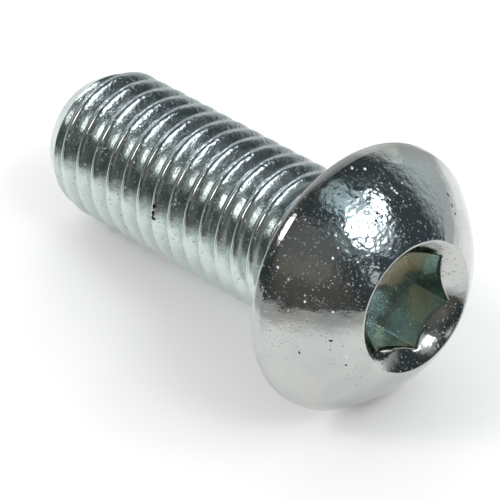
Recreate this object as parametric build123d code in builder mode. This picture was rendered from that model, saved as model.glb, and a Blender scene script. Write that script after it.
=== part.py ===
"""Button head socket screw, M10 x 25, lying at rest.

The screw is drawn standing on its axis: Z runs along it, the bearing face under the
head is at Z = 0, the head is above it and the thread below.  At the end it is laid
down on its head rim and the crest of its last full thread, tip towards +X.
"""
import os
from math import atan2, ceil, cos, degrees, pi, radians, sin, tan

from build123d import *

# ---- head, above the bearing face ---------------------------------------------------
head_diameter = 17.4
head_height = 5.3            # bearing face to the crown of the lip round the socket
edge_break = 0.3             # chamfer from the bearing face up to the edge band
edge_band = 0.9              # height of the upright band's top above the bearing face
edge_draft = 0.1             # how far that band leans in towards its top
dome_radius = 14.4           # radius of the dome's arc, from the band to the lip
lip_diameter = 8.6           # middle of the narrow flat ring that crowns the lip
lip_width = 0.25

# ---- hexagon socket -------------------------------------------------------------------
socket_flats = 6.05
socket_depth = 4.0           # crown of the lip to the floor, at the walls
socket_turn = 3.5            # degrees from the side that lies uppermost to a corner
corner_round = 0.2           # along the six corners
floor_drop = 0.25            # the floor is a shallow cone, this much deeper at its centre
countersink_depth = 1.3      # crown of the lip to the foot of the countersink's cone
countersink_inset = 0.05     # the foot lies this far inside the flats, which trim it

# ---- shank and thread, below the bearing face -----------------------------------------
length = 25.0
neck_diameter = 9.0          # plain neck between head and thread
neck_length = 2.0
neck_swell = 0.4             # chamfer by which the neck swells into the bearing face
shoulder_angle = 45.0        # of the cone from the neck up to the thread, from the axis
thread_diameter = 9.85       # over the crests
thread_pitch = 1.5
thread_angle = 60.0          # between the two flanks of the groove, a sharp V
crest_width = 0.27           # left standing between two grooves
first_groove = 2.54          # bearing face to the first full groove, on the upper side
runout_turns = 0.5           # over which that groove rises out of the neck
tip_diameter = 7.7
tip_angle = 30.0             # of the point's cone, from the axis

head_radius = head_diameter / 2
lip_radius = lip_diameter / 2
neck_radius = neck_diameter / 2
thread_radius = thread_diameter / 2
tip_radius = tip_diameter / 2
flat_radius = socket_flats / 2
floor_height = head_height - socket_depth
countersink_foot = flat_radius - countersink_inset
shoulder_length = (thread_radius - neck_radius) / tan(radians(shoulder_angle))
point_slope = tan(radians(tip_angle))
point_start = length - (thread_radius - tip_radius) / point_slope

# full turns of groove, the last one running out past the point
groove_turns = ceil((length - first_groove) / thread_pitch)
groove_lift = 0.2            # the cutting section stands this far clear of the crests
flank_slope = tan(radians(thread_angle / 2))
groove_half = (thread_pitch - crest_width) / 2
groove_depth = groove_half / flank_slope

# the run-out widens until the section has left the neck
runout_length = runout_turns * thread_pitch
runout_rise = neck_radius - (thread_radius - groove_depth) + 0.1
runout_angle = atan2(runout_rise, runout_length)


def groove_section(height):
    """The groove's V across the helix at this height: X outward, Y along the axis."""
    across = Plane(
        origin=(thread_radius, 0, height),
        x_dir=(1, 0, 0),
        z_dir=(0, 2 * pi * thread_radius, thread_pitch),
    )
    top_half = groove_half + groove_lift * flank_slope
    with BuildSketch(across) as section:
        with BuildLine():
            Polyline(
                (-groove_depth, 0), (groove_lift, -top_half), (groove_lift, top_half), close=True
            )
        make_face()
    return section.sketch


# ---- one turn of the thread's groove, a V carried up a right-hand helix ----------
turn_start = -first_groove - thread_pitch
with BuildPart() as groove_turn:
    with BuildLine() as turn_path:
        Helix(
            pitch=thread_pitch,
            height=thread_pitch,
            radius=thread_radius,
            center=(0, 0, turn_start),
        )
    sweep(sections=groove_section(turn_start), path=turn_path.line, is_frenet=True)

with BuildPart() as runout:
    with BuildLine() as runout_path:
        Helix(
            pitch=thread_pitch / cos(runout_angle),
            height=runout_length,
            radius=thread_radius,
            center=(0, 0, -first_groove),
            cone_angle=degrees(runout_angle),
        )
    sweep(sections=groove_section(-first_groove), path=runout_path.line, is_frenet=True)

# ---- the screw on its axis ----------------------------------------------------------------
with BuildPart() as upright:
    # head: rim, dome, lip and countersink in one section
    with BuildSketch(Plane.XZ):
        with BuildLine():
            Polyline(
                (lip_radius + lip_width / 2, head_height),
                (lip_radius - lip_width / 2, head_height),
                (countersink_foot, head_height - countersink_depth),
                (0, head_height - countersink_depth),
                (0, 0),
                (head_radius - edge_break, 0),
                (head_radius, edge_break),
                (head_radius - edge_draft, edge_band),
            )
            RadiusArc(
                (head_radius - edge_draft, edge_band),
                (lip_radius + lip_width / 2, head_height),
                -dome_radius,
            )
        make_face()
    revolve(axis=Axis.Z)

    # neck, shoulder, crest cylinder and point
    with BuildSketch(Plane.XZ):
        with BuildLine():
            Polyline(
                (0, 0),
                (neck_radius + neck_swell, 0),
                (neck_radius, -neck_swell),
                (neck_radius, -neck_length),
                (thread_radius, -neck_length - shoulder_length),
                (thread_radius, -point_start),
                (tip_radius, -length),
                (0, -length),
                close=True,
            )
        make_face()
    revolve(axis=Axis.Z)

    # socket: a hexagon with rounded corners, and its floor's shallow cone
    with BuildSketch(Plane.XY.offset(floor_height)) as hexagon:
        RegularPolygon(
            radius=flat_radius, side_count=6, major_radius=False, rotation=socket_turn
        )
        fillet(hexagon.vertices(), corner_round)
    extrude(amount=socket_depth, mode=Mode.SUBTRACT)
    with BuildSketch(Plane.XZ):
        with BuildLine():
            Polyline(
                (0, floor_height - floor_drop),
                (flat_radius, floor_height),
                (0, floor_height),
                close=True,
            )
        make_face()
    revolve(axis=Axis.Z, mode=Mode.SUBTRACT)

    # thread: the turns of groove follow each other from the run-out to the point
    with Locations([(0, 0, -turn * thread_pitch) for turn in range(groove_turns)]):
        add(groove_turn.part, mode=Mode.SUBTRACT)
    add(runout.part, mode=Mode.SUBTRACT)


def tilt_onto(turn):
    """Tilt at which the rim and the crest below this turn's groove rest on one plane."""
    distance = first_groove + (turn - 0.5) * thread_pitch + groove_half
    cut = max(0, distance - point_start) / (1 + flank_slope * point_slope)
    drop = head_radius - (thread_radius - cut * point_slope)
    return atan2(drop, edge_break + distance - cut * flank_slope * point_slope)


# ---- laid down: the tip sinks until the first crest touches -------------------------------
rest_tilt = min(tilt_onto(turn) for turn in range(groove_turns))


def lying(east, rise):
    """Plane of the bearing face when the screw lies, its centre at this place."""
    return Plane(
        origin=(east, 0, rise),
        x_dir=(sin(rest_tilt), 0, cos(rest_tilt)),
        z_dir=(-cos(rest_tilt), 0, sin(rest_tilt)),
    )


laid_box = (lying(0, 0).location * upright.part).bounding_box()
with BuildPart(lying(-laid_box.center().X, -laid_box.min.Z)) as screw:
    add(upright.part)
screw.part.label = "screw"

os.makedirs("parts", exist_ok=True)
export_step(screw.part, "parts/screw.step")
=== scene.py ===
"""Button head socket screw, M10 x 25, lying at rest: looks, camera and light.

Lengths are in millimetres until a mesh or a node takes them, which is in metres.  The screw
is worked out standing on its axis, bearing face at z = 0, head above and thread below, and
is then laid down on its head rim and thread.  Points of a section are (radius, height).
"""

import bpy
import numpy as np
from mathutils import Matrix, Vector


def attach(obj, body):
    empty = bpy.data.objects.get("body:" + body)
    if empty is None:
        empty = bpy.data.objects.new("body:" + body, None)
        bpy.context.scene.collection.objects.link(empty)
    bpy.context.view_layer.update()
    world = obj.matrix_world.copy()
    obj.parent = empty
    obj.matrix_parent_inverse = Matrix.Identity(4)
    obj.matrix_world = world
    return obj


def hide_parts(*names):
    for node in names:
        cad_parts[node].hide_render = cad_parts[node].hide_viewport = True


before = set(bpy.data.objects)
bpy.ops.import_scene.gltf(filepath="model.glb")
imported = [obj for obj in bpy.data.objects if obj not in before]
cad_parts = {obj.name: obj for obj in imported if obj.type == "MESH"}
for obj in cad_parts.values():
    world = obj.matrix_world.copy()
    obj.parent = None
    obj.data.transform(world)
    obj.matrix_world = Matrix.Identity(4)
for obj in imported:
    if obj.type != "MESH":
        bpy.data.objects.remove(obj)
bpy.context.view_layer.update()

MM = 0.001

# ---- head -----------------------------------------------------------------------------
HEAD_R = 8.7             # widest, just above the bearing face
RIM_ROUND = 0.35
BAND_TOP = (8.6, 0.9)    # the crease between the upright band and the dome
BAND_ROWS = [0.86, 0.7, 0.5, 0.3, 0.12]         # shares of the band's height
BAND_BOW = 1.6           # the band leans in by this power of its height
CREASE_ROWS = [(-0.012, 0.01), (0.012, -0.03)]  # two rows round the crease, from BAND_TOP
DOME_ARC = 14.4
DOME_TOP = (4.425, 5.3)
DOME_STOP = 0.04         # the dome's last row is this far inside the crease
LIP_STEPS, DOME_STEPS, RIM_STEPS, SWELL_STEPS = 10, 37, 8, 6   # rows on each curve
FACE_ROWS = [8.2, 7.2, 6.0, 5.1]                # radii on the bearing face
LIP_CORNER = (4.3, 5.378)
LIP_ROUND = 0.09         # how far the lip's round crown reaches to each side

# ---- socket ---------------------------------------------------------------------------
SINK_FOOT = (2.975, 4.0)
SINK_ARC = 4.3
# rows of the countersink: shares of the way from the hexagon's edge to the lip
SINK_ROWS = [0.0, 0.06, 0.12, 0.2, 0.3, 0.4, 0.5, 0.6, 0.7, 0.8, 0.9, 1.0]
SOCKET_FLAT = 3.025      # half the width across flats
SOCKET_TURN = 3.5        # degrees from the uppermost side to a corner
SOCKET_CORNER = 0.2
CORNER_SPAN = 1.67       # degrees from a corner's middle to the end of its round
CORNER_COLUMNS, FLAT_COLUMNS = 5, 27            # of the mesh, across a corner and a flat
EDGE_ROUND = 0.1         # of the walls' top edge, out into the countersink
EDGE_FALL = 1.5 * EDGE_ROUND                    # and down the wall
EDGE_ROWS = [0, 0.2, 0.4, 0.6, 0.8]
WALL_ROWS = [0.003, 0.03, 0.2, 0.4, 0.6, 0.8, 0.93]  # shares of the wall's height
FLOOR_RIM = 1.3
FLOOR_DROP = 0.25
FLOOR_ROWS = [0.06, 0.16, 0.3, 0.45, 0.6, 0.75, 0.88, 0.97, 0.997]  # of its radius

# ---- shank ----------------------------------------------------------------------------
NECK_R = 4.5
NECK_FILLET = 0.4
NECK_END = 2.0
NECK_ROWS = [-0.8, -1.2]
CREST_R = 4.925
ROOT_R = 4.05            # what the run-out and the shading reckon from, not GROOVE_R's root
PITCH = 1.5
FIRST_GROOVE = 2.54
RUNOUT = np.pi           # angle over which the first groove rises out of the neck
RUNOUT_CLEAR = 0.1       # how far it has then passed the neck
RUNOUT_MOST = 3          # times that rise, at which the lift ends
LENGTH = 25.0
TIP_R = 3.85
TIP_SLOPE = np.tan(np.radians(30))
TIP_ROWS = [(24.82, 3.954), (24.9, 3.908), (24.96, 3.873), (24.985, 3.85), (25.0, 3.81),
            (25.0, 3.5), (25.0, 2.6), (25.0, 1.6), (25.0, 0.6)]  # (distance, radius)
SHOULDER_ROUND = 0.01    # widths over which the groove's edges are rounded, on the blank
POINT_ROUND = 0.012      # and on the point's cone

THREAD_FROM = 1.6        # the helical rows lie between these distances from the head
THREAD_TO = 24.75
GATHER = 0.004           # and this close to an end they are gathered onto its ring

# half of the groove's section: distance from its middle and radius, out to the crest's
# middle, where rolling leaves a fine seam between two lips.  For the crests' highlights the
# flanks stand 0.07 proud of the solid's and the root is shallower: the pitch diameter is
# 9.27 here and 9.02 in the solid, so a nut would fit the solid and not this skin
GROOVE_S = np.array([0, 0.05, 0.10, 0.14, 0.26, 0.34, 0.42, 0.49, 0.56, 0.62, 0.67, 0.72,
                     0.75])
GROOVE_R = np.array([4.165, 4.173, 4.2, 4.25, 4.458, 4.586, 4.702, 4.789, 4.859, 4.902,
                     4.922, 4.922, 4.892])

# ---- wear -----------------------------------------------------------------------------
WEAR_WAVE = 0.003        # height of the waves along the crests
WEAR_WAVES = [(3, 2.1, 0.0, 1.0), (7, -3.7, 1.0, 1.0), (13, 5.3, 2.0, 0.7),
              (23, -1.9, 0.5, 0.6)]  # waves a turn, radians a mm, start and share of each
WEAR_LOSS = 0.006        # what the crests have lost
WEAR_FROM, WEAR_FULL = 4.6, 0.3    # both grow from this radius, over this much more
SCUFFED_MIDDLE = np.radians(-50)   # angle of the thread's scuffed side
DOME_SCUFF = np.radians(-2)        # and of the dome's
SHARP_EDGE = np.radians(32)        # steeper edges than this are shaded as creases

# ---- how it lies: tilt of the axis and the bearing face's centre ------------------------
TILT = np.radians(9.34645192)
ORIGIN = np.array([-9.672544, 0.0, 8.536147])


def columns():
    """Angles of the mesh's columns round the axis: each sixth of a turn has a few across a
    socket corner's round and the rest evenly over the flat beside it."""
    corner = np.radians(CORNER_SPAN)
    near = np.linspace(-corner, corner, CORNER_COLUMNS)
    far = np.linspace(corner, np.radians(60) - corner, FLAT_COLUMNS + 2)[1:-1]
    sixth = np.concatenate([near, far])
    turns = np.radians(SOCKET_TURN) + np.radians(60) * np.arange(6)
    return (turns[:, None] + sixth[None, :]).ravel()


def hexagon_radius(angle):
    """Radius of the socket's wall: flat distance over the cosine from the flat's middle,
    and within a corner the far side of a small circle set into it."""
    from_corner = np.degrees(angle) - SOCKET_TURN
    off = np.radians(np.abs((from_corner + 30) % 60 - 30))
    flat = SOCKET_FLAT / np.cos(np.radians(30) - off)
    centre = (SOCKET_FLAT - SOCKET_CORNER) / np.cos(np.radians(30))
    inside = np.maximum(SOCKET_CORNER**2 - (centre * np.sin(off)) ** 2, 0)
    rounded = centre * np.cos(off) + np.sqrt(inside)
    return np.where(off < np.radians(CORNER_SPAN), rounded, flat)


def arc_height(radius, foot, top, bend, side):
    """Height at this radius on the upper half of a circle of radius bend through foot and
    top.  Its centre lies below their chord, on the line square to the chord's middle.  The
    side is 1 for a chord that leans outward on its way up and -1 for one that leans in."""
    foot, top = np.array(foot), np.array(top)
    chord = top - foot
    size = np.hypot(*chord)
    out = np.array([chord[1], -chord[0]]) / size
    centre = (foot + top) / 2 + side * out * np.sqrt(bend**2 - size**2 / 4)
    return centre[1] + np.sqrt(np.maximum(bend**2 - (radius - centre[0]) ** 2, 0))


def dome_height(radius):
    """Height of the dome's arc."""
    return arc_height(radius, BAND_TOP, DOME_TOP, DOME_ARC, -1)


def sink_height(radius):
    """Height of the countersink's arc, which bulges into the socket."""
    return arc_height(radius, SINK_FOOT, LIP_CORNER, SINK_ARC, 1)


def rows_of(radius, height, count):
    """A profile given by points as (row, column) arrays, the same in every column."""
    return (np.repeat(np.array(radius)[:, None], count, 1),
            np.repeat(np.array(height)[:, None], count, 1))


def soft_min(a, b, width):
    """The smaller of two, with the corner between them rounded over this width: half of
    their sum less the root of their difference squared and the width squared."""
    return (a + b - np.sqrt((a - b) ** 2 + width**2)) / 2


def quadratic(start, pull, end, t):
    """A quadratic curve from start to end, drawn towards pull, at the shares t: start
    weighs the square of what is left of t, pull twice the product, end the square of t."""
    return (1 - t) ** 2 * start + 2 * t * (1 - t) * pull + t**2 * end


def socket_rows(angle):
    """Radius and height of the socket's rows: floor, wall, its edge and the countersink.

    The floor is a shallow cone whose rows lie at shares of the hexagon's radius.  The wall
    stands on the hexagon up to the countersink's arc.  Its top edge, which the punch rolls
    over, is a quadratic curve from the wall to a ring just outside it, and the countersink
    follows its arc from there to the lip.
    """
    wall = hexagon_radius(angle)[None, :]
    wall_top = sink_height(wall)

    floor_r = np.array(FLOOR_ROWS)[:, None] * wall
    floor_z = FLOOR_RIM - FLOOR_DROP * (1 - np.minimum(floor_r / SOCKET_FLAT, 1))

    up = np.array(WALL_ROWS)[:, None]
    wall_r = wall + 0 * up
    wall_z = FLOOR_RIM + up * (wall_top - FLOOR_RIM)

    t = np.array(EDGE_ROWS)[:, None]
    past = wall + EDGE_ROUND
    edge_r = (1 - t**2) * wall + t**2 * past
    edge_z = quadratic(wall_top - EDGE_FALL, wall_top, sink_height(past), t)

    out = np.array(SINK_ROWS)[:, None]
    sink_r = past + out * (LIP_CORNER[0] - LIP_ROUND - past)
    return (np.concatenate([floor_r, wall_r, edge_r, sink_r]),
            np.concatenate([floor_z, wall_z, edge_z, sink_height(sink_r)]))


def dome_rows():
    """Radius and height of the section from the lip to the neck.

    The lip's round crown is a quadratic curve drawn towards the corner where countersink
    and dome would meet.  The dome is an arc, the band under its crease leans in by a power
    of its height, the rim is a quarter circle, and so is the neck's swell.
    """
    inner = LIP_CORNER[0] - LIP_ROUND
    outer = LIP_CORNER[0] + LIP_ROUND
    t = np.linspace(0, 1, LIP_STEPS + 1)[1:]
    lip_r = quadratic(inner, LIP_CORNER[0], outer, t)
    lip_z = quadratic(sink_height(inner), LIP_CORNER[1], dome_height(outer), t)

    out = np.linspace(0, 1, DOME_STEPS + 1)[1:]
    dome_r = outer + (BAND_TOP[0] - DOME_STOP - outer) * out
    crease_r, crease_z = (np.array(BAND_TOP) + np.array(CREASE_ROWS)).T

    up = np.array(BAND_ROWS)
    band_r = HEAD_R - (HEAD_R - BAND_TOP[0]) * up**BAND_BOW
    band_z = RIM_ROUND + (BAND_TOP[1] - RIM_ROUND) * up

    turn = np.linspace(0, np.pi / 2, RIM_STEPS + 1)
    rim_r = HEAD_R - RIM_ROUND + RIM_ROUND * np.cos(turn)
    rim_z = RIM_ROUND - RIM_ROUND * np.sin(turn)

    swell = np.linspace(0, np.pi / 2, SWELL_STEPS + 1)
    fillet_r = NECK_R + NECK_FILLET - NECK_FILLET * np.sin(swell)
    fillet_z = -NECK_FILLET + NECK_FILLET * np.cos(swell)

    neck_r = np.full(len(NECK_ROWS), NECK_R)
    radius = np.concatenate([lip_r, dome_r, crease_r, band_r, rim_r, FACE_ROWS, fillet_r,
                             neck_r])
    height = np.concatenate([lip_z, dome_height(dome_r), crease_z, band_z, rim_z,
                             np.zeros(len(FACE_ROWS)), fillet_z, NECK_ROWS])
    return radius, height


def thread_radius(distance, angle):
    """Radius of the shank at this distance from the bearing face and this angle.

    The groove's section repeats each pitch and advances a pitch a turn, right-hand.  Past
    the first groove it is lifted in step with the angle until it has left the neck.  The
    blank is the neck, a 45 degree shoulder, the crest and the point's cone, and the shank
    has the smaller of the two.
    """
    phase = (distance - FIRST_GROOVE) / PITCH + angle / (2 * np.pi)
    nearest = np.floor(phase + 0.5)
    section = np.interp(np.abs(phase - nearest) * PITCH, GROOVE_S, GROOVE_R)
    beyond = angle - 2 * np.pi * nearest
    lift = np.clip(beyond / RUNOUT, 0, RUNOUT_MOST) * (NECK_R - ROOT_R + RUNOUT_CLEAR)
    blank = np.clip(NECK_R + distance - NECK_END, NECK_R, CREST_R)
    cone = TIP_R + (LENGTH - distance) * TIP_SLOPE
    return soft_min(soft_min(section + lift, blank, SHOULDER_ROUND), cone, POINT_ROUND)


def wear(distance, angle):
    """Slow waves of a few microns that rolling and tumbling leave along the crests: a sum
    of sines of angle and distance with unrelated frequencies."""
    wave = sum(share * np.sin(around * angle + along * distance + start)
               for around, along, start, share in WEAR_WAVES)
    return WEAR_WAVE * wave


def quads(grid):
    """Faces between neighbouring rows and columns of a grid of vertex numbers."""
    corners = [grid[:-1, :-1], grid[1:, :-1], grid[1:, 1:], grid[:-1, 1:]]
    return np.stack(corners, -1).reshape(-1, 4)


def ring_grid(start, rows, count):
    """Vertex numbers of rings one after another, closed by their first column again."""
    grid = start + np.arange(rows * count).reshape(rows, count)
    return np.concatenate([grid, grid[:, :1]], 1)


def screw_mesh():
    """Vertices and faces of the whole screw as one closed skin.

    Rings run from the socket's floor over the head to the neck.  Along the thread the rows
    follow the helix, so a row that goes once round comes back one pitch further on, and the
    rows that would pass the thread's ends are gathered onto its two end rings.  Rings go on
    to the point's flat end.
    """
    angle = columns()
    count = len(angle)
    socket_r, socket_z = socket_rows(angle)
    dome_r, dome_z = rows_of(*dome_rows(), count)
    head_r = np.concatenate([socket_r, dome_r])
    head_z = np.concatenate([socket_z, dome_z])
    head_rings = len(head_r)

    # helical rows, as turns of groove counted from the first one
    pattern = np.concatenate([-GROOVE_S[:0:-1], GROOVE_S[:-1]]) / PITCH
    first = (THREAD_FROM - FIRST_GROOVE) / PITCH
    last = (THREAD_TO - FIRST_GROOVE) / PITCH
    turns = np.arange(np.floor(first), np.ceil(last) + 2)
    phase = (turns[:, None] + pattern[None, :]).ravel()
    rows = len(phase)
    swept = np.concatenate([angle, angle[:1] + 2 * np.pi])
    distance = FIRST_GROOVE + PITCH * (phase[:, None] - swept[None, :] / (2 * np.pi))
    before = distance <= THREAD_FROM + GATHER
    after = distance >= THREAD_TO - GATHER
    free = ~(before | after)
    free[:, -1] = False

    # vertices in order: floor's middle, head's rings and the thread's first ring, the free
    # ones of the thread, its last ring, the point's rings, and the end face's middle
    from_base = 1 + head_rings * count
    free_base = from_base + count
    to_base = free_base + int(free.sum())
    column = np.repeat(np.arange(count + 1)[None] % count, rows, 0)
    index = np.full(distance.shape, -1)
    index[free] = free_base + np.arange(free.sum())
    index[before] = from_base + column[before]
    index[after] = to_base + column[after]
    # a row that has gone once round is the row one pitch back at the first column
    back = np.arange(rows) - len(pattern)
    closing = (index[:, -1] < 0) & (back >= 0)
    index[closing, -1] = index[back[closing], 0]

    from_r = thread_radius(np.full(count, THREAD_FROM), angle)
    to_r = thread_radius(np.full(count, THREAD_TO), angle)
    thread_d = distance[free]
    thread_a = np.repeat(swept[None], rows, 0)[free]
    thread_r = thread_radius(thread_d, thread_a)
    high = np.clip((thread_r - WEAR_FROM) / WEAR_FULL, 0, 1)
    thread_r = thread_r + wear(thread_d, thread_a) * high - WEAR_LOSS * high

    tip_d, tip_r = np.array(TIP_ROWS).T
    end_r, end_z = rows_of(tip_r, -tip_d, count)

    radius = np.concatenate([[0.0], head_r.ravel(), from_r, thread_r, to_r, end_r.ravel(),
                             [0.0]])
    height = np.concatenate([[FLOOR_RIM - FLOOR_DROP], head_z.ravel(),
                             np.full(count, -THREAD_FROM), -thread_d,
                             np.full(count, -THREAD_TO), end_z.ravel(), [-LENGTH]])
    around = np.concatenate([[0.0], np.tile(angle, head_rings + 1), thread_a,
                             np.tile(angle, 1 + len(tip_r)), [0.0]])
    points = np.stack([radius * np.cos(around), radius * np.sin(around), height], 1)

    head_grid = ring_grid(1, head_rings + 1, count)
    tip_grid = ring_grid(to_base, 1 + len(tip_r), count)
    faces = np.concatenate([quads(head_grid), quads(index), quads(tip_grid)])
    floor_middle = np.zeros(count, int)
    end_middle = np.full(count, len(points) - 1)
    fans = np.concatenate([
        np.stack([floor_middle, head_grid[0, :-1], head_grid[0, 1:]], 1),
        np.stack([end_middle, tip_grid[-1, 1:], tip_grid[-1, :-1]], 1)])
    return points, faces, fans


def tidy_faces(faces):
    """Faces without repeated corners: whole quads stay, a quad with one pair of corners
    gathered into a point is a triangle, and one with two such pairs is gone."""
    same = faces == np.roll(faces, -1, 1)
    opposite = (faces[:, 0] == faces[:, 2]) | (faces[:, 1] == faces[:, 3])
    twins = same.sum(1)
    whole = faces[(twins == 0) & ~opposite]
    pinched = faces[(twins == 1) & ~opposite]
    drop = same[(twins == 1) & ~opposite].argmax(1)
    keep = (drop[:, None] + np.arange(1, 4)[None]) % 4
    return whole, np.take_along_axis(pinched, keep, 1)


def lay_down(points):
    """From the standing screw to the lying one, in metres: turned by the tilt about the
    axis that runs across, then moved."""
    x_axis = np.array([np.sin(TILT), 0, np.cos(TILT)])
    y_axis = np.array([0, 1.0, 0])
    z_axis = np.array([-np.cos(TILT), 0, np.sin(TILT)])
    return (ORIGIN + points @ np.stack([x_axis, y_axis, z_axis])) * MM


def recess_share(points):
    """1 inside the socket, less down in the thread's grooves and 0 on open surfaces: by
    depth under the countersink's arc, and by radius under the crests."""
    socket_reach, sink_reach = 3.6, 4.2     # radii that hold the socket, and its arc
    start, fade = 0.02, 0.15                # depth at which it starts, and over which
    groove_start, groove_most = 0.1, 0.35   # depth under the crests, and share there
    radius = np.hypot(points[:, 0], points[:, 1])
    height = points[:, 2]
    socket = (radius < socket_reach) & (height > 0)
    sink = sink_height(np.minimum(radius, sink_reach))
    deep = np.clip((sink - start - height) / fade, 0, 1)
    groove = np.clip((CREST_R - groove_start - radius) / (CREST_R - ROOT_R), 0, 1)
    return np.where(socket, deep, np.where(height < -NECK_END, groove_most * groove, 0.0))


def rolled_share(points):
    """1 on the rolled thread, 0 on the head, blending along the neck."""
    neck_from, neck_blend = 0.2, 1.2        # below the bearing face
    return np.clip((-points[:, 2] - neck_from) / neck_blend, 0, 1)


def scuffed_share(points):
    """1 where tumbling scuffed the screw, 0 elsewhere: half of the thread and a third of
    the dome, each by the cosine of the angle from its middle."""
    thread_from, thread_blend = 0.47, 0.22  # of the cosine, as a share of its full swing
    dome_from, dome_blend = 0.5, 0.4        # of the cosine itself
    band_from, band_blend = 1.0, 1.0        # height over which the dome's share comes in
    around = np.arctan2(points[:, 1], points[:, 0])
    side = 0.5 + 0.5 * np.cos(around - SCUFFED_MIDDLE)
    thread = rolled_share(points) * np.clip((side - thread_from) / thread_blend, 0, 1)
    dome = np.clip((np.cos(around - DOME_SCUFF) - dome_from) / dome_blend, 0, 1)
    dome = dome * np.clip((points[:, 2] - band_from) / band_blend, 0, 1)
    return thread + dome * (np.hypot(points[:, 0], points[:, 1]) > LIP_CORNER[0])


def make_screw():
    """The screw as an object at the origin, with its shares as attributes of its points."""
    points, faces, fans = screw_mesh()
    whole, pinched = tidy_faces(faces)
    mesh = bpy.data.meshes.new("button_head_screw")
    everything = whole.tolist() + pinched.tolist() + fans.tolist()
    mesh.from_pydata(lay_down(points).tolist(), [], everything)
    shares = {"recess": recess_share, "rolled": rolled_share, "scuffed": scuffed_share}
    for name, share in shares.items():
        attribute = mesh.attributes.new(name, "FLOAT", "POINT")
        attribute.data.foreach_set("value", share(points).astype(np.float32))
    mesh.validate()
    mesh.shade_smooth()
    mesh.set_sharp_from_angle(angle=SHARP_EDGE)
    piece = bpy.data.objects.new("button_head_screw", mesh)
    bpy.context.scene.collection.objects.link(piece)
    return piece


# ---- materials ------------------------------------------------------------------------
def linear(text):
    """A colour written as sRGB hex, turned to linear by the sRGB curve."""
    part = np.array([int(text[i:i + 2], 16) for i in (0, 2, 4)]) / 255
    part = np.where(part <= 0.04045, part / 12.92, ((part + 0.055) / 1.055) ** 2.4)
    return (*part.tolist(), 1.0)


def add_node(tree, kind, settings=None, **links):
    """Adds a node.  Settings are its own fields.  Links go by input, named with _ for a
    space, or numbered with i where names repeat.  Each is a value, a socket, or a node,
    which stands for its first output in use."""
    node = tree.nodes.new(kind)
    for name, value in (settings or {}).items():
        setattr(node, name, value)
    for name, value in links.items():
        numbered = name[0] == "i" and name[1:].isdigit()
        socket = node.inputs[int(name[1:]) if numbered else name.replace("_", " ")]
        if isinstance(value, bpy.types.Node):
            value = next(output for output in value.outputs if output.enabled)
        if isinstance(value, bpy.types.NodeSocket):
            tree.links.new(value, socket)
        else:
            socket.default_value = value
    return node


def new_material(name):
    """A material with an empty node tree, and that tree."""
    material = bpy.data.materials.new(name)
    material.use_nodes = True
    material.node_tree.nodes.clear()
    return material, material.node_tree


# marks that handling left, each a centre on the lying screw and a radius
NICKS = [
    (-11.40, -1.11, 15.95, 0.09), (-11.57, -1.16, 15.84, 0.08), (-11.74, -1.21, 15.72, 0.09),
    (-9.83, -0.36, 16.87, 0.10), (-9.41, 0.31, 17.06, 0.09), (-12.17, 4.34, 14.12, 0.10),
    (-13.19, 3.27, 13.84, 0.09), (-12.06, 3.84, 14.54, 0.08), (-10.10, 6.85, 13.53, 0.09),
    (-12.10, 6.49, 11.87, 0.08), (-13.44, 5.46, 11.35, 0.09), (-11.35, -1.99, 15.81, 0.08),
    (-11.33, 0.35, 5.95, 0.10), (-11.28, -0.05, 6.05, 0.09), (-11.32, 0.15, 6.25, 0.08),
]
GRIME = [
    (7.76, 3.87, 8.71, 0.16), (7.80, 4.15, 8.35, 0.14), (7.70, 3.60, 9.00, 0.13),
    (3.82, 4.63, 7.95, 0.17), (3.76, 4.74, 7.60, 0.14), (3.71, 4.82, 7.23, 0.19),
    (-2.00, 4.86, 7.93, 0.12), (-0.18, 4.39, 9.17, 0.10),
    (-12.13, 0.70, 15.51, 0.09), (-12.41, 0.72, 15.30, 0.09), (-12.39, 1.10, 15.27, 0.08),
    (-12.08, -5.21, 13.49, 0.12), (-12.57, -5.08, 13.08, 0.11), (-12.94, -5.00, 12.73, 0.12),
    (-13.74, 5.87, 9.48, 0.10), (-14.36, 5.26, 7.57, 0.07), (-14.79, 4.23, 6.16, 0.08),
    (-12.50, 7.21, 8.55, 0.08),
]
TAN_FILM = [(-10.92, -2.2, 8.35, 1.15), (-10.86, -1.3, 8.7, 0.9)]
BLUE_FILM = [(-11.17, -0.38, 6.82, 0.95), (-11.31, 0.23, 5.97, 0.5), (-11.0, 0.3, 7.6, 0.8)]
MARK_CORE = 0.7          # share of a mark's radius at which it starts to fade

SWIRL = 0.5              # size and reach of the swirl that breaks up the pits' rows


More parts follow.
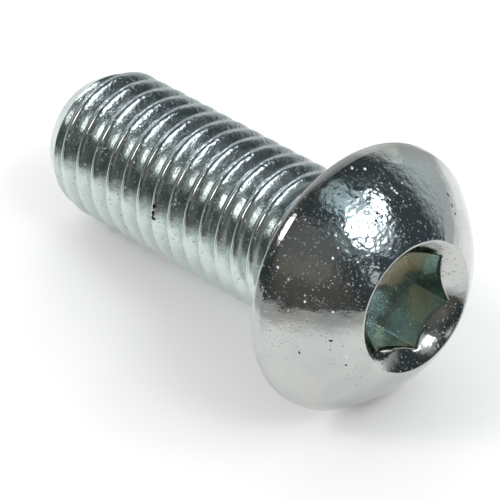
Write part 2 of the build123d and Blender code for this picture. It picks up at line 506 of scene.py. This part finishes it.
def zinc_material():
    """Bright zinc electroplate on cold-forged, tumbled steel: a thin silvery mirror with a
    blue-green cast in its darks, softened by the forging's fine grain and dotted with pits.
    In the socket, where plate is thin and rinse water dries, it is greener and filmed."""
    material, tree = new_material("bright_zinc_electroplate")
    where = add_node(tree, "ShaderNodeTexCoord").outputs["Object"]
    recess, rolled, scuffed = (
        add_node(tree, "ShaderNodeAttribute", {"attribute_name": name}).outputs["Fac"]
        for name in ("recess", "rolled", "scuffed"))

    # noises, by the size of their features in millimetres, their detail and roughness
    waves, crinkles, grain, fray, film_lumps, tint_clouds, gloss_clouds = (
        add_node(tree, "ShaderNodeTexNoise", Vector=where, Scale=1 / (size * MM),
                 Detail=detail, Roughness=roughness)
        for size, detail, roughness in (
            (1.5, 1.0, 0.5),     # forging's slow waves
            (0.42, 1.5, 0.5),    # crinkles in the steel under the plate
            (0.13, 2.0, 0.5),    # the plate's grain: its crystals are microns across, and
                                 # it is drawn this coarse so that it shows
            (0.16, 2.0, 0.5),    # the frayed edges of marks
            (0.2, 3.0, 0.7),     # lumps in the dried films
            (2.3, 2.0, 0.5),     # clouds in the plate's tint
            (1.1, 3.0, 0.6)))    # clouds in its gloss

    # a slight swirl of the coordinates, so that no pattern stands in rows
    swirl = add_node(tree, "ShaderNodeTexNoise", Vector=where, Scale=1 / (SWIRL * MM),
                     Detail=1.0).outputs["Color"]
    swirled = add_node(tree, "ShaderNodeVectorMath", {"operation": "MULTIPLY_ADD"}, i0=swirl,
                       i1=(SWIRL * MM,) * 3, i2=where)

    def pits(cell, size, patch, low, high):
        """Pits up to this size, one in each cell of a Voronoi pattern.

        A cell's own random colour sets how large its pit is.  The distance from the cell's
        point over that radius, moved by a fine noise to fray the edge, fades the pit out at
        1.  Pits show only where a noise with patches this large passes from low to high.
        Lengths are in millimetres.
        """
        fray_size, fray_reach = 0.6 * size, 1.6
        cells = add_node(tree, "ShaderNodeTexVoronoi", Vector=swirled, Scale=1 / (cell * MM))
        own = add_node(tree, "ShaderNodeSeparateColor", Color=cells.outputs["Color"])
        reach = add_node(tree, "ShaderNodeMath", {"operation": "MULTIPLY"}, i0=own,
                         i1=size / cell / 2)
        inside = add_node(tree, "ShaderNodeMath", {"operation": "DIVIDE"}, i0=cells,
                          i1=reach)
        edge = add_node(tree, "ShaderNodeTexNoise", Vector=where,
                        Scale=1 / (fray_size * MM), Detail=1.0, Roughness=0.5)
        inside = add_node(tree, "ShaderNodeMath", {"operation": "MULTIPLY_ADD"}, i0=edge,
                          i1=fray_reach, i2=inside)
        inside = add_node(tree, "ShaderNodeMath", {"operation": "SUBTRACT"}, i0=inside,
                          i1=fray_reach / 2)
        spot = add_node(tree, "ShaderNodeMapRange", {"interpolation_type": "SMOOTHSTEP"},
                        Value=inside, From_Min=0.4, From_Max=1.0, To_Min=1.0, To_Max=0.0)
        patches = add_node(tree, "ShaderNodeTexNoise", Vector=where,
                           Scale=1 / (patch * MM), Detail=2.0, Roughness=0.5)
        shown = add_node(tree, "ShaderNodeMapRange", {"interpolation_type": "SMOOTHSTEP"},
                         Value=patches, From_Min=low, From_Max=high)
        return add_node(tree, "ShaderNodeMath", {"operation": "MULTIPLY"}, i0=spot,
                        i1=shown)

    wobble = add_node(tree, "ShaderNodeMath", {"operation": "SUBTRACT"}, i0=fray, i1=0.5)

    def marks(spots, ragged):
        """Ragged spots with a soft edge, each a centre and a radius in millimetres: the
        distance to it, moved by a noise this many millimetres high, fades the spot out at
        its radius, and the strongest spot counts."""
        edge = add_node(tree, "ShaderNodeMath", {"operation": "MULTIPLY"}, i0=wobble,
                        i1=ragged * MM)
        strongest = 0.0
        for x, y, z, radius in spots:
            away = add_node(tree, "ShaderNodeVectorMath", {"operation": "DISTANCE"},
                            i0=where, i1=(x * MM, y * MM, z * MM))
            away = add_node(tree, "ShaderNodeMath", {"operation": "ADD"}, i0=away, i1=edge)
            spot = add_node(tree, "ShaderNodeMapRange", {"interpolation_type": "SMOOTHSTEP"},
                            Value=away, From_Min=radius * MARK_CORE * MM,
                            From_Max=radius * MM, To_Min=1.0, To_Max=0.0)
            strongest = add_node(tree, "ShaderNodeMath", {"operation": "MAXIMUM"},
                                 i0=strongest, i1=spot)
        return strongest

    # cell, size and patch of each kind of pit, and the levels that its patches pass
    large = pits(0.7, 0.2, 2.2, 0.46, 0.56)
    small = pits(0.24, 0.16, 1.5, 0.40, 0.52)
    tiny = pits(0.13, 0.08, 0.9, 0.40, 0.56)
    specks = pits(0.45, 0.1, 2.1, 0.47, 0.56)
    nicks = marks(NICKS, 0.12)
    grime = marks(GRIME, 0.55)
    tan_film = marks(TAN_FILM, 0.5)
    blue_film = marks(BLUE_FILM, 0.6)

    # bright scuffs, on the head alone
    unrolled = add_node(tree, "ShaderNodeMath", {"operation": "SUBTRACT"}, i0=1.0, i1=rolled)
    scuffs = add_node(tree, "ShaderNodeMath", {"operation": "MULTIPLY"},
                      i0=pits(0.33, 0.13, 1.9, 0.42, 0.54), i1=unrolled)

    # crinkles are deeper where the screw was scuffed, and the grain where the thread was
    crinkle_depth = add_node(tree, "ShaderNodeMath", {"operation": "MULTIPLY_ADD"},
                             i0=scuffed, i1=0.026, i2=0.008)
    scuffed_thread = add_node(tree, "ShaderNodeMath", {"operation": "MULTIPLY"}, i0=scuffed,
                              i1=rolled)
    grain_depth = add_node(tree, "ShaderNodeMath", {"operation": "MULTIPLY_ADD"},
                           i0=scuffed_thread, i1=0.014, i2=0.0045)
    film = add_node(tree, "ShaderNodeMath", {"operation": "MAXIMUM"}, i0=tan_film,
                    i1=blue_film)
    film_relief = add_node(tree, "ShaderNodeMath", {"operation": "MULTIPLY"}, i0=film,
                           i1=film_lumps)

    # relief in millimetres: the sum of each pattern times its height
    relief = 0.0
    for pattern, height in ((crinkles, crinkle_depth), (grain, grain_depth), (waves, 0.045),
                            (large, -0.03), (small, -0.022), (tiny, -0.009),
                            (scuffs, -0.02), (nicks, -0.05), (film_relief, 0.05)):
        relief = add_node(tree, "ShaderNodeMath", {"operation": "MULTIPLY_ADD"}, i0=pattern,
                          i1=height, i2=relief)
    bump = add_node(tree, "ShaderNodeBump", Strength=1.0, Distance=MM, Height=relief)

    # the plate's tint, laid over coat by coat by each share
    cloudy = add_node(tree, "ShaderNodeMapRange", {"interpolation_type": "SMOOTHSTEP"},
                      Value=tint_clouds, From_Min=0.35, From_Max=0.65)
    half_large = add_node(tree, "ShaderNodeMath", {"operation": "MULTIPLY"}, i0=large,
                          i1=0.5)
    bright_metal = add_node(tree, "ShaderNodeMath", {"operation": "MAXIMUM"}, i0=scuffs,
                            i1=nicks)
    dirt = add_node(tree, "ShaderNodeMath", {"operation": "MAXIMUM"}, i0=grime, i1=specks)
    tint = linear("C4C6C2")
    # the rolled thread's lighter tint is partly its own finish and partly painted light,
    # raised to make up for the shadowed floor that the thread mirrors
    for share, colour in ((cloudy, "BCC0BE"), (rolled, "CFDAD7"), (scuffed, "CFD9DD"),
                          (recess, "B4C0B8"), (half_large, "4A4D4B"),
                          (bright_metal, "F2F4F4"), (tan_film, "F0E2C6"),
                          (blue_film, "B4CCD2"), (dirt, "1A1915")):
        tint = add_node(tree, "ShaderNodeMix", {"data_type": "RGBA"}, i0=share, i6=tint,
                        i7=linear(colour))

    # scuffs and nicks catch the light as torn metal does, hardly as a mirror
    metal = 1.0
    for share, loss in ((scuffs, -0.4), (nicks, -0.95)):
        metal = add_node(tree, "ShaderNodeMath", {"operation": "MULTIPLY_ADD"}, i0=share,
                         i1=loss, i2=metal)

    # a mirror's roughness in clouds, more where it is punched, rolled, torn, filmed or dirty
    rough = add_node(tree, "ShaderNodeMapRange", {"interpolation_type": "SMOOTHSTEP"},
                     Value=gloss_clouds, From_Min=0.3, From_Max=0.7, To_Min=0.06,
                     To_Max=0.16)
    for share, more in ((recess, 0.11), (rolled, 0.08), (scuffs, 0.15), (nicks, 0.12),
                        (tan_film, 0.2), (grime, 0.3)):
        rough = add_node(tree, "ShaderNodeMath", {"operation": "MULTIPLY_ADD"}, i0=share,
                         i1=more, i2=rough)

    surface = add_node(tree, "ShaderNodeBsdfPrincipled", Base_Color=tint, Metallic=metal,
                       Roughness=rough, Normal=bump)
    add_node(tree, "ShaderNodeOutputMaterial", Surface=surface)
    return material


def table_material():
    """Matt white board: flat and even, so the screw's soft shadow shows on it. Its colour
    fades to pale grey well away from the screw, by the distance from the middle: painted
    shade, a falloff of light painted on the board."""
    material, tree = new_material("white_table")
    white_to, grey_from = 29, 78
    where = add_node(tree, "ShaderNodeTexCoord").outputs["Object"]
    from_middle = add_node(tree, "ShaderNodeVectorMath", {"operation": "LENGTH"}, i0=where)
    # painted shade: the board's colour greys with distance from the middle, as light falling
    # off would
    painted_falloff = add_node(tree, "ShaderNodeMapRange", {"interpolation_type": "SMOOTHSTEP"},
                        Value=from_middle, From_Min=white_to * MM,
                        From_Max=grey_from * MM)
    board_with_painted_falloff = add_node(tree, "ShaderNodeMix", {"data_type": "RGBA"}, i0=painted_falloff,
                    i6=linear("FDFDFD"), i7=linear("B2B2B1"))
    surface = add_node(tree, "ShaderNodeBsdfPrincipled", Base_Color=board_with_painted_falloff, Roughness=0.6)
    add_node(tree, "ShaderNodeOutputMaterial", Surface=surface)
    return material


screw = make_screw()
screw.data.materials.append(zinc_material())
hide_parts("screw")
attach(screw, "root")

# ---- table, room and lamps ------------------------------------------------------------
TABLE = 1.2              # half the table's side, in metres
table_mesh = bpy.data.meshes.new("floor")
table_mesh.from_pydata([(-TABLE, -TABLE, 0), (TABLE, -TABLE, 0), (TABLE, TABLE, 0),
                        (-TABLE, TABLE, 0)], [], [(0, 1, 2, 3)])
table_mesh.materials.append(table_material())
floor = bpy.data.objects.new("floor", table_mesh)
bpy.context.scene.collection.objects.link(floor)

world = bpy.data.worlds.new("studio")
bpy.context.scene.world = world
world.use_nodes = True
world_tree = world.node_tree
world_tree.nodes.clear()


def toward(azimuth, elevation):
    """The direction at this azimuth from +X towards +Y and this height, in degrees: the
    cosines of both, the azimuth's sine with the height's cosine, and the height's sine."""
    az, el = np.radians(azimuth), np.radians(elevation)
    level = np.cos(el)
    return float(np.cos(az) * level), float(np.sin(az) * level), float(np.sin(el))


def glow(sky, azimuth, elevation, inner, outer, colour):
    """A patch of light on the studio's walls, by the cosine of the angle to its middle:
    full within the inner angle, smoothly gone at the outer one, both in degrees."""
    along = add_node(world_tree, "ShaderNodeVectorMath", {"operation": "DOT_PRODUCT"},
                     i0=sky, i1=toward(azimuth, elevation))
    share = add_node(world_tree, "ShaderNodeMapRange", {"interpolation_type": "SMOOTHSTEP"},
                     Value=along, From_Min=float(np.cos(np.radians(outer))),
                     From_Max=float(np.cos(np.radians(inner))))
    return add_node(world_tree, "ShaderNodeVectorMath", {"operation": "SCALE"}, i0=colour,
                    Scale=share)


# the room that the plate mirrors, as linear radiance: its dark walls, and patches on them
# by azimuth, elevation, inner and outer angle
ROOM = (0.048, 0.059, 0.063)
PATCHES = [
    (172, 50, 5, 15, (0.13, 0.15, 0.15)),      # wall lit round the lamps
    (196, 51, 6, 17, (0.36, 0.38, 0.38)),
    (214, 54, 5, 14, (0.30, 0.33, 0.33)),
    (200, 71, 5, 14, (0.42, 0.52, 0.55)),      # cool light on the ceiling
    (288, 4, 16, 44, (0.47, 0.49, 0.46)),      # pale wall on the right
    (280, 31, 5, 15, (0.30, 0.31, 0.30)),      # its lit top
    (342, 20, 18, 50, (0.50, 0.50, 0.51)),     # pale wall behind
    (171, 27, 3, 7, (0.70, 0.72, 0.72)),       # lit strip between the camera and the lamps
    (131, 17, 8, 25, (0.066, 0.050, 0.036)),   # brown furniture
    (125, 42, 12, 27, (0.100, 0.090, 0.080)),  # greyer wall above it
    (60, 48, 4, 12, (8.2, 7.5, 7.5)),          # window behind, seen by the thread
]
sky = add_node(world_tree, "ShaderNodeTexCoord").outputs["Generated"]
walls = ROOM
for patch in PATCHES:
    walls = add_node(world_tree, "ShaderNodeVectorMath", {"operation": "ADD"}, i0=walls,
                     i1=glow(sky, *patch))
background = add_node(world_tree, "ShaderNodeBackground", Color=walls, Strength=1.0)
add_node(world_tree, "ShaderNodeOutputWorld", Surface=background)


def lamp(name, azimuth, elevation, away, size, radiance):
    """A soft rectangular lamp facing the screw from this direction and distance, in
    millimetres, as bright as radiance says: an area lamp shines its power over its area
    times pi."""
    data = bpy.data.lights.new(name, "AREA")
    data.shape = "RECTANGLE"
    data.size, data.size_y = size[0] * MM, size[1] * MM
    data.energy = radiance * np.pi * data.size * data.size_y
    light = bpy.data.objects.new(name, data)
    ahead = Vector(toward(azimuth, elevation))
    light.location = ahead * away * MM
    light.rotation_euler = ahead.to_track_quat("Z", "Y").to_euler()
    bpy.context.scene.collection.objects.link(light)
    return light


lamp("softbox", 189, 53.5, 900, (270, 150), 7.0)
lamp("second_softbox", 224, 52, 900, (180, 110), 7.0)
# even light from above and all sides, which the mirror doesn't show
even_light = [lamp("overhead", 0, 90, 600, (2600, 2600), 0.5)]
for quarter in range(4):
    even_light.append(lamp(f"fill_{quarter}", 45 + 90 * quarter, 22, 700, (900, 400), 1.05))
for light in even_light:
    light.visible_glossy = False

# ---- camera ---------------------------------------------------------------------------
CAMERA_PLACE = Vector((-136.665, 122.479, 166.619))
CAMERA_RIGHT = Vector((-0.66703, -0.74503, 0.00050))
CAMERA_DOWN = Vector((-0.49409, 0.44185, -0.74876))
CAMERA_AHEAD = Vector((0.55763, -0.49969, -0.66284))
camera_data = bpy.data.cameras.new("camera")
camera_data.lens, camera_data.sensor_width = 280.05, 36.0
camera_data.clip_start, camera_data.clip_end = 0.01, 10.0
camera = bpy.data.objects.new("camera", camera_data)
turned = Matrix((CAMERA_RIGHT, -CAMERA_DOWN, -CAMERA_AHEAD)).transposed().to_4x4()
camera.matrix_world = Matrix.Translation(CAMERA_PLACE * MM) @ turned
bpy.context.scene.collection.objects.link(camera)
bpy.context.scene.camera = camera

bpy.context.scene.view_settings.view_transform = "Standard"
